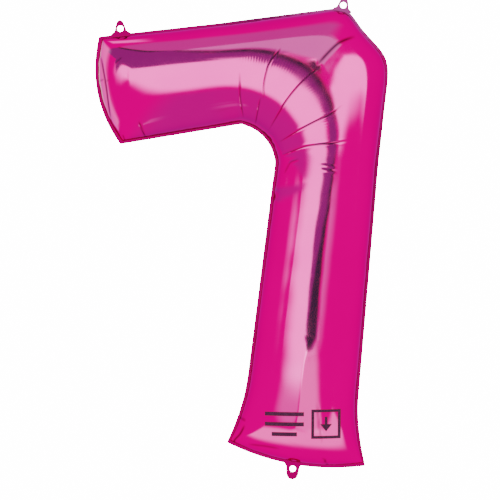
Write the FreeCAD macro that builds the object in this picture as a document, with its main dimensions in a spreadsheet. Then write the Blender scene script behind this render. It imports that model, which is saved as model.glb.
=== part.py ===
"""Foil number balloon, the digit seven, inflated.

Two metallised film panels are heat-sealed round a margin and blown up into a soft tube that is bent
into a seven. Two hanging tabs stand on the top margin and a filling tab hangs from the foot, each
with a punched hole. Behind the filling tab a flat self-sealing valve reaches into the foot.

The frame is millimetres, +Z up, the front of the balloon facing -Y. The origin is the centre of the
hole in the filling tab, on the plane where the two panels meet.
"""
import FreeCAD, Part
import os
from math import cos, pi, radians, sin, tan

import Sketcher
from FreeCAD import Rotation, Vector

# Driving dimensions, in millimetres unless the name ends in _angle (degrees) or _count.
# Points of the seam line, the edge of the inflated lobe, carry _x and _z.
DIMENSIONS = {
    # bar of the seven: lower edge, then upper edge
    "bar_end_low_x": -303, "bar_end_low_z": 583.5,
    "bar_end_high_x": -339, "bar_end_high_z": 765,
    "bar_top_mid_x": -127, "bar_top_mid_z": 788.5,
    # inside of the bend
    "crook_bar_x": -94, "crook_bar_z": 618,
    "crook_mid_x": -51, "crook_mid_z": 597,
    "crook_stem_x": -26.5, "crook_stem_z": 544,
    # outside of the bend
    "crown_x": 88, "crown_z": 817.5,
    "bevel_low_x": 151.5, "bevel_low_z": 743.5,
    "stem_top_right_x": 148, "stem_top_right_z": 545,
    # foot
    "stem_low_left_x": -76, "stem_low_left_z": 158,
    "flare_left_x": -89.5, "flare_left_z": 103,
    "foot_left_x": -111.5, "foot_left_z": 51,
    "stem_low_right_x": 111.5, "stem_low_right_z": 118.5,
    "flare_right_x": 114.5, "flare_right_z": 62,
    "foot_right_x": 125, "foot_right_z": 11,
    # inflated form
    "crown_radius": 22, "shoulder_radius": 60, "shoulder_reach": 27,
    "tube_depth": 166, "bend_swell": 0.08,
    "end_length": 120, "bar_end_bow": 22, "foot_bow": 19,
    # films
    "film": 0.4, "seal_thickness": 0.6, "margin": 5,
    # tabs, each placed by the centre of its hole
    "tab_hole_radius": 5.5, "tab_hole_height": 7.5, "tab_gap": 0.8, "landing_depth": 7,
    "hanging_tab_root": 32, "hanging_tab_height": 23, "hanging_tab_tip": 7,
    "fill_tab_root": 30, "fill_tab_height": 26.5, "fill_tab_tip": 11,
    "left_tab_x": -306.7, "left_tab_z": 783.2, "left_tab_angle": -5,
    "right_tab_x": 90, "right_tab_z": 825, "right_tab_angle": 12,
    "fill_tab_x": 0, "fill_tab_z": 0, "fill_tab_angle": 185,
    # valve
    "valve_width": 24, "valve_length": 150, "valve_film": 0.25,
    "valve_side_seal": 3, "valve_mouth_inset": 1.5, "release_coat_length": 36,
    # printed mark on the front of the foot
    "print_thickness": 0.15, "arrow_x": 57, "arrow_z": 85, "arrow_side": 52, "arrow_line": 5,
    "arrow_shaft_top": 13, "arrow_tip": -13, "arrow_head_width": 21,
    "bar_print_x": -16, "bar_print_z": 85, "bar_print_width": 68, "bar_print_last_width": 44,
    "bar_print_height": 7, "bar_print_pitch": 18, "bar_print_count": 3,
}

SEAM_STEPS = 1000          # samples along a stretch of seam when a point is picked by its share
ACROSS_STEPS = 16          # rows of points from one side of the tube to the other
END_STEPS = 7              # rows over the rounded end of the tube
ROUND_SHARE = 0.75         # how much of the rounded end is a quarter circle; the rest runs straight
PLAIN_BAR_STEPS = 4        # rows along the rest of the bar
BEND_STEPS = 14            # rows round the bend
PLAIN_STEM_STEPS = 10      # rows along the rest of the stem
TRIM_SIDE = 1              # a tab's landing is cut clear this far past each end of its bend line
TRIM_DEPTHS = 3            # and this many landing depths outwards
LEG_LEAN = radians(20)     # a tab's sketch starts from this lean of its legs; constraints settle it

doc = FreeCAD.newDocument("foil_number_balloon")
sheet = doc.addObject("Spreadsheet::Sheet", "dims")
for row, (alias, value) in enumerate(DIMENSIONS.items(), start=1):
    sheet.set(f"A{row}", alias)
    sheet.set(f"B{row}", str(value))
    sheet.setAlias(f"B{row}", alias)
doc.recompute()


def size(alias):
    """A driving dimension, read back from the spreadsheet."""
    return float(sheet.get(alias))


def seam(name):
    """A named point of the seam line, on the meeting plane of the panels."""
    return Vector(size(name + "_x"), 0, size(name + "_z"))


# --- seam line -----------------------------------------------------------------------------------

def line(a, b):
    return Part.makeLine(a, b)


def arc(a, middle, b):
    return Part.Arc(a, middle, b).toShape()


def rounded_corner(before, corner, after, radius):
    """Start, middle and end of an arc of that radius that rounds a corner of the seam line."""
    to_before = (before - corner).normalize()
    to_after = (after - corner).normalize()
    half_angle = to_before.getAngle(to_after) / 2
    start = corner + to_before * (radius / tan(half_angle))
    end = corner + to_after * (radius / tan(half_angle))
    bisector = (to_before + to_after).normalize()
    middle = corner + bisector * (radius / sin(half_angle) - radius)
    return start, middle, end


def near_stretches():
    """The seam on the inside of the seven: under the bar, round the crook, down the stem."""
    bar = Part.Wire([line(seam("bar_end_low"), seam("crook_bar"))])
    bend = Part.Wire([arc(seam("crook_bar"), seam("crook_mid"), seam("crook_stem"))])
    stem = Part.Wire([
        line(seam("crook_stem"), seam("stem_low_left")),
        arc(seam("stem_low_left"), seam("flare_left"), seam("foot_left")),
    ])
    return [bar, bend, stem]


def far_stretches():
    """The seam on the outside of the seven: over the bar, round the crown, down the stem."""
    crown = rounded_corner(seam("bar_top_mid"), seam("crown"), seam("bevel_low"),
                           size("crown_radius"))
    slope = (seam("bevel_low") - seam("crown")).normalize()
    shoulder_corner = seam("bevel_low") + slope * size("shoulder_reach")
    shoulder = rounded_corner(seam("crown"), shoulder_corner, seam("stem_top_right"),
                              size("shoulder_radius"))
    bar = Part.Wire([line(seam("bar_end_high"), seam("bar_top_mid"))])
    bend = Part.Wire([
        line(seam("bar_top_mid"), crown[0]), arc(*crown),
        line(crown[2], shoulder[0]), arc(*shoulder),
        line(shoulder[2], seam("stem_top_right")),
    ])
    stem = Part.Wire([
        line(seam("stem_top_right"), seam("stem_low_right")),
        arc(seam("stem_low_right"), seam("flare_right"), seam("foot_right")),
    ])
    return [bar, bend, stem]


def end_reach(step):
    """How far the rounded end has run at that step, both 0 to 1: nearly a quarter circle."""
    return ROUND_SHARE * (1 - cos(pi / 2 * step)) + (1 - ROUND_SHARE) * step


def station_shares():
    """For each row of points along the tube: stretch, share of that stretch, end roundness 0 to 1."""
    rows = []
    bar_end = size("end_length") / near_stretches()[0].Length
    stem_end = size("end_length") / near_stretches()[2].Length
    for i in range(END_STEPS):
        rows.append((0, bar_end * end_reach(i / END_STEPS), sin(pi / 2 * i / END_STEPS)))
    for i in range(PLAIN_BAR_STEPS):
        rows.append((0, bar_end + (1 - bar_end) * i / PLAIN_BAR_STEPS, 1))
    for i in range(BEND_STEPS):
        rows.append((1, i / BEND_STEPS, 1))
    for i in range(PLAIN_STEM_STEPS):
        rows.append((2, (1 - stem_end) * i / PLAIN_STEM_STEPS, 1))
    for i in range(END_STEPS, -1, -1):
        rows.append((2, 1 - stem_end * end_reach(i / END_STEPS), sin(pi / 2 * i / END_STEPS)))
    return rows


def lobe_rows(inset, level):
    """Rows of points on the inflated front lobe, its edge inset from the seam line and at y = -level.

    Each row runs from the inside of the seven to the outside as half an ellipse. Towards the two
    ends the tube loses its depth, and the row bows out to follow the rounded end seam.
    """
    near = [w.discretize(Number=SEAM_STEPS + 1) for w in near_stretches()]
    far = [w.discretize(Number=SEAM_STEPS + 1) for w in far_stretches()]
    rows = []
    for stretch, share, roundness in station_shares():
        index = round(share * SEAM_STEPS)
        a, b = near[stretch][index], far[stretch][index]
        across = (b - a).normalize()
        a, b = a + across * inset, b - across * inset
        outward = across.cross(Vector(0, 1, 0)) * (1 if stretch == 0 else -1)
        at_end = 1 - roundness
        bow = size("bar_end_bow") if stretch == 0 else size("foot_bow")
        swell = 1 + size("bend_swell") * (sin(pi * share) ** 2 if stretch == 1 else 0)
        depth = (size("tube_depth") / 2) * roundness * swell
        row = []
        for j in range(ACROSS_STEPS + 1):
            turn = pi * j / ACROSS_STEPS
            along = (1 - cos(turn)) / 2
            flat = a + (b - a) * along
            flat = flat + outward * (bow * at_end * 4 * along * (1 - along) - inset * at_end)
            row.append(flat + Vector(0, -level - depth * sin(turn), 0))
        rows.append(row)
    return rows


def lobe_face(inset, level):
    surface = Part.BSplineSurface()
    surface.interpolate(lobe_rows(inset, level))
    return surface.toShape()


def edge_wire(face):
    """The edge of a face as a wire of its own, no longer tied to the curved face it came from."""
    return Part.Wire([edge.Curve.toShape(edge.FirstParameter, edge.LastParameter)
                      for edge in face.OuterWire.OrderedEdges])


def flat_face(*wires):
    """A flat face from its outline and, after it, the outlines of its holes."""
    return Part.makeFace(list(wires), "Part::FaceMakerBullseye")


# --- tabs' places --------------------------------------------------------------------------------

def tab_frame(name):
    """Placement of a tab: local X runs along its bend line, local Z points out of the balloon."""
    hole = Vector(size(name + "_x"), 0, size(name + "_z"))
    turn = Rotation(Vector(0, 1, 0), size(name + "_angle"))
    return FreeCAD.Placement(hole - turn.multVec(Vector(0, 0, size("tab_hole_height"))), turn)


def flat_patch(frame, points):
    """A flat polygon in the meeting plane, from (x, z) pairs in a tab's own frame."""
    corners = [frame.multVec(Vector(x, 0, z)) for x, z in points]
    return flat_face(Part.makePolygon(corners + corners[:1]))


def trimmed_outline():
    """The cut edge of the panels: the margin round the lobe, with a straight landing at each tab."""
    outline = flat_face(edge_wire(lobe_face(-size("margin"), 0)))
    for name, root in (("left_tab", "hanging_tab_root"), ("right_tab", "hanging_tab_root"),
                       ("fill_tab", "fill_tab_root")):
        frame = tab_frame(name)
        half, depth = size(root) / 2, size("landing_depth")
        outline = outline.fuse(flat_patch(frame, [
            (-half, 0), (half, 0), (half + depth, -depth), (-half - depth, -depth)]))
        side, top = half + TRIM_SIDE, TRIM_DEPTHS * depth
        outline = outline.cut(flat_patch(frame, [(-side, 0), (side, 0), (side, top), (-side, top)]))
    widest = max(outline.removeSplitter().Faces, key=lambda face: face.Area)
    return edge_wire(widest)


# --- film panels ---------------------------------------------------------------------------------

def closed_solid(faces):
    """The faces sewn edge to edge into one solid."""
    shell = Part.Shell(faces)
    shell.sewShape()
    solid = Part.Solid(shell.Shells[0])
    if solid.Volume < 0:
        solid.reverse()
    return solid


def panel_solid():
    """The front film: its inflated lobe and its flat margin, one film thick throughout."""
    film, gap = size("film"), size("seal_thickness") / 2
    outer = lobe_face(0, gap + film)
    inner = lobe_face(film, gap)
    outer_wire, inner_wire = edge_wire(outer), edge_wire(inner)
    cut_wire = trimmed_outline()
    front_edge = cut_wire.translated(Vector(0, -gap - film, 0))
    back_edge = cut_wire.translated(Vector(0, -gap, 0))
    rim = front_edge.extrude(Vector(0, film, 0))
    faces = [outer, inner, flat_face(front_edge, outer_wire), flat_face(back_edge, inner_wire)]
    solid = closed_solid(faces + rim.Faces)
    return solid, inner_wire.translated(Vector(0, gap, 0)), cut_wire


def shape_feature(name, shape):
    feature = doc.addObject("Part::Feature", name)
    feature.Label = name
    feature.Shape = shape
    return feature


front_shape, lobe_inner_wire, cut_wire = panel_solid()
front_panel = shape_feature("front_foil_panel", front_shape)

back_panel = doc.addObject("Part::Mirroring", "back_foil_panel")
back_panel.Label = "back_foil_panel"
back_panel.Source = front_panel
back_panel.Base = Vector(0, 0, 0)
back_panel.Normal = Vector(0, 1, 0)

# --- heat seal -----------------------------------------------------------------------------------

margin_ring = shape_feature("margin_ring", flat_face(cut_wire, lobe_inner_wire))

margin_band = doc.addObject("Part::Extrusion", "margin_band")
margin_band.Base = margin_ring
margin_band.DirMode = "Custom"
margin_band.Dir = Vector(0, 1, 0)
margin_band.Symmetric = True
margin_band.Solid = True
margin_band.setExpression("LengthFwd", "dims.seal_thickness")

neck = doc.addObject("Part::Box", "neck_opening")
neck.setExpression("Length", "dims.valve_width")
neck.setExpression("Width", "dims.seal_thickness * 2")
neck.setExpression("Height", "dims.tab_hole_height + dims.margin + dims.foot_bow")
neck.setExpression("Placement.Base.x", "-dims.valve_width / 2")
neck.setExpression("Placement.Base.y", "-dims.seal_thickness")

seal = doc.addObject("Part::Cut", "perimeter_heat_seal")
seal.Label = "perimeter_heat_seal"
seal.Base = margin_band
seal.Tool = neck

# --- valve ---------------------------------------------------------------------------------------

def valve_strip(name, width, length, thickness, x, y):
    """A flat strip of the valve, standing on the bend line of the filling tab."""
    strip = doc.addObject("Part::Box", name)
    strip.Label = name
    strip.setExpression("Length", width)
    strip.setExpression("Width", thickness)
    strip.setExpression("Height", length)
    strip.setExpression("Placement.Base.x", x)
    strip.setExpression("Placement.Base.y", y)
    strip.setExpression("Placement.Base.z", "dims.fill_tab_z + dims.tab_hole_height + dims.valve_mouth_inset")
    return strip


COAT = "(dims.seal_thickness - 2 * dims.valve_film)"
valve_strip("valve_front_film", "dims.valve_width", "dims.valve_length", "dims.valve_film",
            "-dims.valve_width / 2", "-dims.seal_thickness / 2")
valve_strip("valve_back_film", "dims.valve_width", "dims.valve_length", "dims.valve_film",
            "-dims.valve_width / 2", "dims.seal_thickness / 2 - dims.valve_film")
valve_strip("valve_release_coat", "dims.valve_width - 2 * dims.valve_side_seal",
            "dims.release_coat_length", COAT,
            "-dims.valve_width / 2 + dims.valve_side_seal", f"-{COAT} / 2")
valve_strip("valve_left_side_weld", "dims.valve_side_seal", "dims.valve_length", COAT,
            "-dims.valve_width / 2", f"-{COAT} / 2")
valve_strip("valve_right_side_weld", "dims.valve_side_seal", "dims.valve_length", COAT,
            "dims.valve_width / 2 - dims.valve_side_seal", f"-{COAT} / 2")

# --- tabs ----------------------------------------------------------------------------------------

def origin_plane(body, role):
    return next(f for f in body.Origin.OriginFeatures if f.Role == role)


def tab_sketch(body, name, root, height, tip):
    """Outline of a tab: straight root, two straight legs, a round tip, and the punched hole."""
    sketch = body.newObject("Sketcher::SketchObject", name)
    sketch.AttachmentSupport = [(origin_plane(body, "XZ_Plane"), "")]
    sketch.MapMode = "FlatFace"
    half, gap, r = size(root) / 2, size("tab_gap"), size(tip)
    centre = Vector(0, size(height) - r, 0)
    right, left = Vector(half, gap, 0), Vector(-half, gap, 0)
    leg_end = centre + Vector(r * cos(LEG_LEAN), r * sin(LEG_LEAN), 0)
    leg_start = centre + Vector(-r * cos(LEG_LEAN), r * sin(LEG_LEAN), 0)
    circle = Part.Circle(centre, Vector(0, 0, 1), r)
    hole_centre = Vector(0, size("tab_hole_height"), 0)
    sketch.addGeometry([
        Part.LineSegment(left, right),
        Part.LineSegment(right, leg_end),
        Part.ArcOfCircle(circle, LEG_LEAN, pi - LEG_LEAN),
        Part.LineSegment(leg_start, left),
        Part.Circle(hole_centre, Vector(0, 0, 1), size("tab_hole_radius")),
    ])
    add = sketch.addConstraint
    add(Sketcher.Constraint("Coincident", 0, 2, 1, 1))
    add(Sketcher.Constraint("Coincident", 3, 2, 0, 1))
    add(Sketcher.Constraint("Tangent", 1, 2, 2, 1))
    add(Sketcher.Constraint("Tangent", 2, 2, 3, 1))
    add(Sketcher.Constraint("Symmetric", 0, 1, 0, 2, -2))
    add(Sketcher.Constraint("PointOnObject", 2, 3, -2))
    add(Sketcher.Constraint("PointOnObject", 4, 3, -2))
    for label, constraint, expression in (
            ("root", Sketcher.Constraint("DistanceX", 0, 1, 0, 2, 2 * half), f"dims.{root}"),
            ("gap", Sketcher.Constraint("DistanceY", -1, 1, 0, 1, gap), "dims.tab_gap"),
            ("tip", Sketcher.Constraint("Radius", 2, r), f"dims.{tip}"),
            ("tip_centre", Sketcher.Constraint("DistanceY", -1, 1, 2, 3, centre.y),
             f"dims.{height} - dims.{tip}"),
            ("hole", Sketcher.Constraint("Radius", 4, size("tab_hole_radius")),
             "dims.tab_hole_radius"),
            ("hole_height", Sketcher.Constraint("DistanceY", -1, 1, 4, 3, hole_centre.y),
             "dims.tab_hole_height")):
        index = add(constraint)
        sketch.renameConstraint(index, label)
        sketch.setExpression(f"Constraints.{label}", expression)
    return sketch


def tab(name, place, root, height, tip, thickness, shift="0"):
    """One tab as a padded sketch, centred on the plane y = shift."""
    body = doc.addObject("PartDesign::Body", name)
    body.Label = name
    pad = body.newObject("PartDesign::Pad", name + "_pad")
    pad.Profile = tab_sketch(body, name + "_outline", root, height, tip)
    pad.Midplane = True
    pad.setExpression("Length", thickness)
    body.Placement = tab_frame(place)
    body.setExpression("Placement.Base.x",
                       f"dims.{place}_x - dims.tab_hole_height * sin(dims.{place}_angle)")
    body.setExpression("Placement.Base.z",
                       f"dims.{place}_z - dims.tab_hole_height * cos(dims.{place}_angle)")
    body.setExpression("Placement.Base.y", shift)
    return body


LAMINATE = "dims.seal_thickness + 2 * dims.film"
FILM_SHIFT = "(dims.seal_thickness + dims.film) / 2"
HANGING = ("hanging_tab_root", "hanging_tab_height", "hanging_tab_tip")
FILLING = ("fill_tab_root", "fill_tab_height", "fill_tab_tip")
tab("upper_left_hanging_tab", "left_tab", *HANGING, LAMINATE)
tab("upper_right_hanging_tab", "right_tab", *HANGING, LAMINATE)
tab("fill_tab_front_film", "fill_tab", *FILLING, "dims.film", f"-{FILM_SHIFT}")
tab("fill_tab_back_film", "fill_tab", *FILLING, "dims.film", FILM_SHIFT)

# --- printed mark --------------------------------------------------------------------------------

def filled_lobe(raised):
    """The front lobe as a closed solid, raised towards the front by that much."""
    level = size("seal_thickness") / 2 + size("film")
    face = lobe_face(0, level)
    return closed_solid([face, flat_face(edge_wire(face))]).translated(Vector(0, -raised, 0))


def print_prism(x, z, width, height):
    """A rectangular prism that stands through the front lobe, centred on (x, z)."""
    reach = size("tube_depth")
    return Part.makeBox(width, reach, height, Vector(x - width / 2, -reach, z - height / 2))


def arrow_prism():
    """A square frame with an arrow in it that points down to the filling tab."""
    x, z, side, stroke = (size("arrow_" + k) for k in ("x", "z", "side", "line"))
    reach = size("tube_depth")
    frame = print_prism(x, z, side, side).cut(
        print_prism(x, z, side - 2 * stroke, side - 2 * stroke))
    top, tip, half_head = size("arrow_shaft_top"), size("arrow_tip"), size("arrow_head_width") / 2
    corners = [Vector(x + across, -reach, z + up) for across, up in (
        (-stroke / 2, top), (-stroke / 2, 0), (-half_head, 0), (0, tip),
        (half_head, 0), (stroke / 2, 0), (stroke / 2, top))]
    arrow = flat_face(Part.makePolygon(corners + corners[:1])).extrude(Vector(0, reach, 0))
    return Part.makeCompound([frame, arrow])


def bar_prisms():
    """Plain bars, one under the other, that stand where a caption would be; the last is shorter."""
    count = round(size("bar_print_count"))
    first = size("bar_print_z") + size("bar_print_pitch") * (count - 1) / 2
    widths = [size("bar_print_width")] * (count - 1) + [size("bar_print_last_width")]
    return Part.makeCompound([
        print_prism(size("bar_print_x"), first - size("bar_print_pitch") * i,
                    width, size("bar_print_height"))
        for i, width in enumerate(widths)])


def printed(name, prisms, ink, lobe):
    """Ink that lies on the front lobe inside the prisms."""
    tool = shape_feature(name + "_outline", prisms)
    inked = doc.addObject("Part::Common", name + "_inked")
    inked.Base, inked.Tool = ink, tool
    mark = doc.addObject("Part::Cut", name)
    mark.Label = name
    mark.Base, mark.Tool = inked, lobe
    return mark


lobe = shape_feature("lobe_form", filled_lobe(0))
ink = shape_feature("ink_form", filled_lobe(size("print_thickness")))
printed("fill_arrow_print", arrow_prism(), ink, lobe)
printed("caption_bars_print", bar_prisms(), ink, lobe)

# --- checks and export ---------------------------------------------------------------------------

NODES = [
    "front_foil_panel", "back_foil_panel", "perimeter_heat_seal",
    "upper_left_hanging_tab", "upper_right_hanging_tab",
    "fill_tab_front_film", "fill_tab_back_film",
    "valve_front_film", "valve_back_film", "valve_release_coat",
    "valve_left_side_weld", "valve_right_side_weld",
    "fill_arrow_print", "caption_bars_print",
]

doc.recompute()
for item in doc.Objects:
    if "Invalid" in item.State or "Error" in item.State:
        raise RuntimeError(f"{item.Name} failed: {item.State}")

os.makedirs("parts", exist_ok=True)
for name in NODES:
    shape = next(item for item in doc.Objects if item.Label == name).Shape
    if shape.isNull() or not shape.isValid() or not shape.Solids:
        raise RuntimeError(f"{name} has no valid solid")
    print(f"{name}: {len(shape.Solids)} solid(s), {shape.Volume:.1f} mm3")
    shape.exportStep(f"parts/{name}.step")
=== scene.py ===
"""Foil number balloon, the digit seven: the looks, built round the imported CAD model.

The inflated skin is one closed mesh. Its edge is the seam line read from the CAD panel, and its
height over the plane of the seam solves the equation of a film under pressure on that outline.
Folds, creases and puckers are then pressed into it. The sealed margin, the tabs and the print are
pieces of their own. Metres, +Z up, the front of the balloon facing -Y.
"""
import math

import bmesh
import bpy
import numpy as np
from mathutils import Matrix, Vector
from mathutils.bvhtree import BVHTree
from mathutils.geometry import delaunay_2d_cdt

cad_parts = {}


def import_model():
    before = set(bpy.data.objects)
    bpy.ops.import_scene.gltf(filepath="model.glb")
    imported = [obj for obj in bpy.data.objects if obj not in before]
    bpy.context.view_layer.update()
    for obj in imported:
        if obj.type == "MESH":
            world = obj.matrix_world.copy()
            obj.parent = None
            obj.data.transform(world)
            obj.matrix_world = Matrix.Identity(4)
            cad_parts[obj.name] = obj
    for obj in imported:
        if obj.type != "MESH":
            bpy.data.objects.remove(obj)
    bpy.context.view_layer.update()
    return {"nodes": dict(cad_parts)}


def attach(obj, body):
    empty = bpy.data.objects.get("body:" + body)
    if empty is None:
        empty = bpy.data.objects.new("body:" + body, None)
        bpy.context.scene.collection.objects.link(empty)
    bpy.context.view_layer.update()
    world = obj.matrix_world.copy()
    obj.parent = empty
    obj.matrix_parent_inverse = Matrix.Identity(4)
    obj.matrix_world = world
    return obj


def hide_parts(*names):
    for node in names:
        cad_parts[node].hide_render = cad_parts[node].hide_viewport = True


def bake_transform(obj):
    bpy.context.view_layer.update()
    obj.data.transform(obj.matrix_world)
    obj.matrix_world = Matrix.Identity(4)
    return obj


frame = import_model()

MM = 0.001

# --- the seam line, read from the CAD panel ------------------------------------------------------

MARGIN_LEVEL = 0.7 * MM  # the outer face of the flat margin lies this far from the mid-plane
LEVEL_TOLERANCE = 0.002 * MM
LOOP_STEP = 1.0 * MM  # spacing of the points of a resampled loop
LOOP_SMOOTHING = 4.0 * MM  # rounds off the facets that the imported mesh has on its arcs

# Points of the seam (x, z): corners of the lobe, and where its straight runs meet the bend.
BAR_END_LOW = (-0.3030, 0.5835)
BAR_END_HIGH = (-0.3390, 0.7650)
FOOT_LEFT = (-0.1115, 0.0510)
FOOT_RIGHT = (0.1250, 0.0110)
NEAR_BREAKS = ((-0.094, 0.618), (-0.0265, 0.544))
FAR_BREAKS = ((-0.127, 0.7885), (0.148, 0.545))
BAR_END_MIDDLE = (-0.341, 0.670)
FOOT_MIDDLE = (0.0, 0.010)

MATCHING_DECIMALS = 6  # mesh points that agree to this many decimals are the same point
BELL_REACH = 4  # smoothing looks this many sigma to each side
SHORTEST_PATH = 8  # points
TINY = 1e-12  # keeps a division from being by zero
TINY_AREA = 1e-14


def margin_loops(node):
    """The two closed outlines of a panel's flat margin as (x, z) rows: the seam and the cut edge."""
    mesh = frame["nodes"][node].data
    points = np.array([v.co for v in mesh.vertices])
    on_level = np.abs(np.abs(points[:, 1]) - MARGIN_LEVEL) < LEVEL_TOLERANCE
    rounded = [tuple(p) for p in np.round(points, MATCHING_DECIMALS)]
    uses = {}
    for face in mesh.polygons:
        if all(on_level[v] for v in face.vertices):
            corners = [rounded[v] for v in face.vertices]
            for pair in zip(corners, corners[1:] + corners[:1]):
                uses[frozenset(pair)] = uses.get(frozenset(pair), 0) + 1
    neighbours = {}
    for edge, count in uses.items():
        if count == 1 and len(edge) == 2:
            a, b = edge
            neighbours.setdefault(a, []).append(b)
            neighbours.setdefault(b, []).append(a)
    loops = []
    while neighbours:
        loop = [next(iter(neighbours))]
        while loop[-1] in neighbours:
            following = [p for p in neighbours.pop(loop[-1]) if p in neighbours]
            if not following:
                break
            loop.append(following[0])
        loops.append(np.array(loop)[:, [0, 2]])
    loops.sort(key=loop_length)
    return loops


def loop_length(loop):
    return np.linalg.norm(loop - np.roll(loop, 1, axis=0), axis=1).sum()


def nearest(points, target):
    return int(np.argmin(np.linalg.norm(points - np.array(target), axis=1)))


def reach_along(path):
    """How far along an open path each of its points lies."""
    return np.concatenate([[0], np.cumsum(np.linalg.norm(np.diff(path, axis=0), axis=1))])


def resampled(path, count):
    """That many points, evenly spaced, along an open path."""
    reach = reach_along(path)
    wanted = np.linspace(0, reach[-1], count)
    return np.column_stack([np.interp(wanted, reach, path[:, k]) for k in range(path.shape[1])])


def bell(reach, sigma):
    """Weights of a smooth bump that reaches so many points to each side, adding up to 1."""
    kernel = np.exp(-0.5 * (np.arange(-reach, reach + 1) / sigma) ** 2)
    return kernel / kernel.sum()


def smoothed(path, sigma):
    """An open path with evenly spaced points, smoothed over sigma points, its ends kept."""
    reach = int(BELL_REACH * sigma)
    kernel = bell(reach, sigma)
    before = 2 * path[0] - path[reach:0:-1]
    after = 2 * path[-1] - path[-2:-reach - 2:-1]
    padded = np.vstack([before, path, after])
    return np.column_stack([np.convolve(padded[:, k], kernel, "valid")
                            for k in range(path.shape[1])])


def path_between(loop, start, end, through):
    """The stretch of a closed loop from start to end that passes nearest to a third point."""
    a, b = nearest(loop, start), nearest(loop, end)
    ways = [np.roll(loop, -a, axis=0)[:(b - a) % len(loop) + 1],
            np.roll(loop[::-1], a + 1, axis=0)[:(a - b) % len(loop) + 1]]
    path = min(ways, key=lambda w: np.linalg.norm(w - np.array(through), axis=1).min())
    length = np.linalg.norm(np.diff(path, axis=0), axis=1).sum()
    even = resampled(path, max(SHORTEST_PATH, round(length / LOOP_STEP)))
    return smoothed(even, LOOP_SMOOTHING / LOOP_STEP)


seam_loop, cut_loop = margin_loops("front_foil_panel")
near_seam = path_between(seam_loop, BAR_END_LOW, FOOT_LEFT, NEAR_BREAKS[0])
far_seam = path_between(seam_loop, BAR_END_HIGH, FOOT_RIGHT, FAR_BREAKS[0])
bar_end_seam = path_between(seam_loop, BAR_END_LOW, BAR_END_HIGH, BAR_END_MIDDLE)
foot_seam = path_between(seam_loop, FOOT_LEFT, FOOT_RIGHT, FOOT_MIDDLE)

# --- grid of the lobe ----------------------------------------------------------------------------

STRETCH_ROWS = (112, 210, 196)  # rows of the grid along the bar, round the bend, along the stem
ACROSS = 96  # columns from the near side of the tube to the far side
END_ROWS = 40  # rows that crowd together towards each end
PAIRING_SMOOTHNESS = 12  # rows over which the pairing of the two sides changes
PAIRING_REACH = 3  # and how many times that its smoothing looks to each side
END_REACH = 0.12  # how far the bowed end shapes the rows, along the tube


def side_parameters(side, breaks):
    """Where each row of the grid starts on one side of the lobe, as a share of its length."""
    marks = [0] + [nearest(side, b) for b in breaks] + [len(side) - 1]
    speed = np.concatenate([
        np.full(rows, (end - start) / rows)
        for rows, start, end in zip(STRETCH_ROWS, marks, marks[1:])])
    reach = PAIRING_REACH * PAIRING_SMOOTHNESS
    padded = np.concatenate([np.full(reach, speed[0]), speed, np.full(reach, speed[-1])])
    speed = np.convolve(padded, bell(reach, PAIRING_SMOOTHNESS), "valid")
    crowding = np.minimum((np.arange(len(speed)) + 0.5) / END_ROWS, 1)
    speed = speed * crowding * crowding[::-1]
    shares = np.concatenate([[0], np.cumsum(speed)])
    return shares / shares[-1]


def along(path, shares):
    index = shares * (len(path) - 1)
    steps = np.arange(len(path))
    return np.column_stack([np.interp(index, steps, path[:, k]) for k in range(2)])


def lobe_grid():
    """(x, z) of the grid's points: rows along the tube, columns across it."""
    near = along(near_seam, side_parameters(near_seam, NEAR_BREAKS))
    far = along(far_seam, side_parameters(far_seam, FAR_BREAKS))
    share = (1 - np.cos(math.pi * np.arange(ACROSS + 1) / ACROSS)) / 2
    grid = near[:, None] * (1 - share[:, None]) + far[:, None] * share[:, None]
    travelled = reach_along(grid[:, ACROSS // 2])
    for end_seam, distance, row in ((bar_end_seam, travelled, 0),
                                    (foot_seam, travelled[-1] - travelled, -1)):
        bow = along(end_seam, share) - grid[row]
        fade = np.cos(math.pi / 2 * np.minimum(distance / END_REACH, 1)) ** 2
        grid = grid + fade[:, None, None] * bow
    return grid


grid = lobe_grid()
ROWS = len(grid) - 1

# --- height of the inflated film -----------------------------------------------------------------

FULLNESS = 0.985  # height against a tube of perfectly round section
HEIGHT_LIMIT = 98 * MM  # the lobe's height bends towards this limit, as film cannot stretch
LIMIT_SHARPNESS = 9


def cotangent_weights(points):
    """Stiffness of the grid's triangles: for each pair of neighbours, half the cotangents that face it."""
    right = np.zeros((ROWS + 1, ACROSS))          # to the next column
    down = np.zeros((ROWS, ACROSS + 1))           # to the next row
    diagonal = np.zeros((ROWS, ACROSS))           # (row, column) to (row + 1, column + 1)
    area = np.zeros((ROWS + 1, ACROSS + 1))
    p00, p01 = points[:-1, :-1], points[:-1, 1:]
    p10, p11 = points[1:, :-1], points[1:, 1:]

    def cotangent(apex, a, b):
        u, v = a - apex, b - apex
        cross = np.abs(u[..., 0] * v[..., 1] - u[..., 1] * v[..., 0])
        return (u * v).sum(-1) / np.maximum(cross, TINY_AREA), cross / 2

    for a, b, c, ab, bc, ca in (
            (p00, p01, p11, (right, np.s_[:-1]), (down, np.s_[:, 1:]), (diagonal, np.s_[:])),
            (p00, p10, p11, (down, np.s_[:, :-1]), (right, np.s_[1:]), (diagonal, np.s_[:]))):
        for apex, (first, second), (weights, where) in (
                (c, (a, b), ab), (a, (b, c), bc), (b, (c, a), ca)):
            value, size = cotangent(apex, first, second)
            weights[where] += value / 2
        corners = (np.s_[:-1, :-1], np.s_[1:, 1:], np.s_[:-1, 1:] if b is p01 else np.s_[1:, :-1])
        for corner in corners:
            area[corner] += size / 3
    return right, down, diagonal, area


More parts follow.
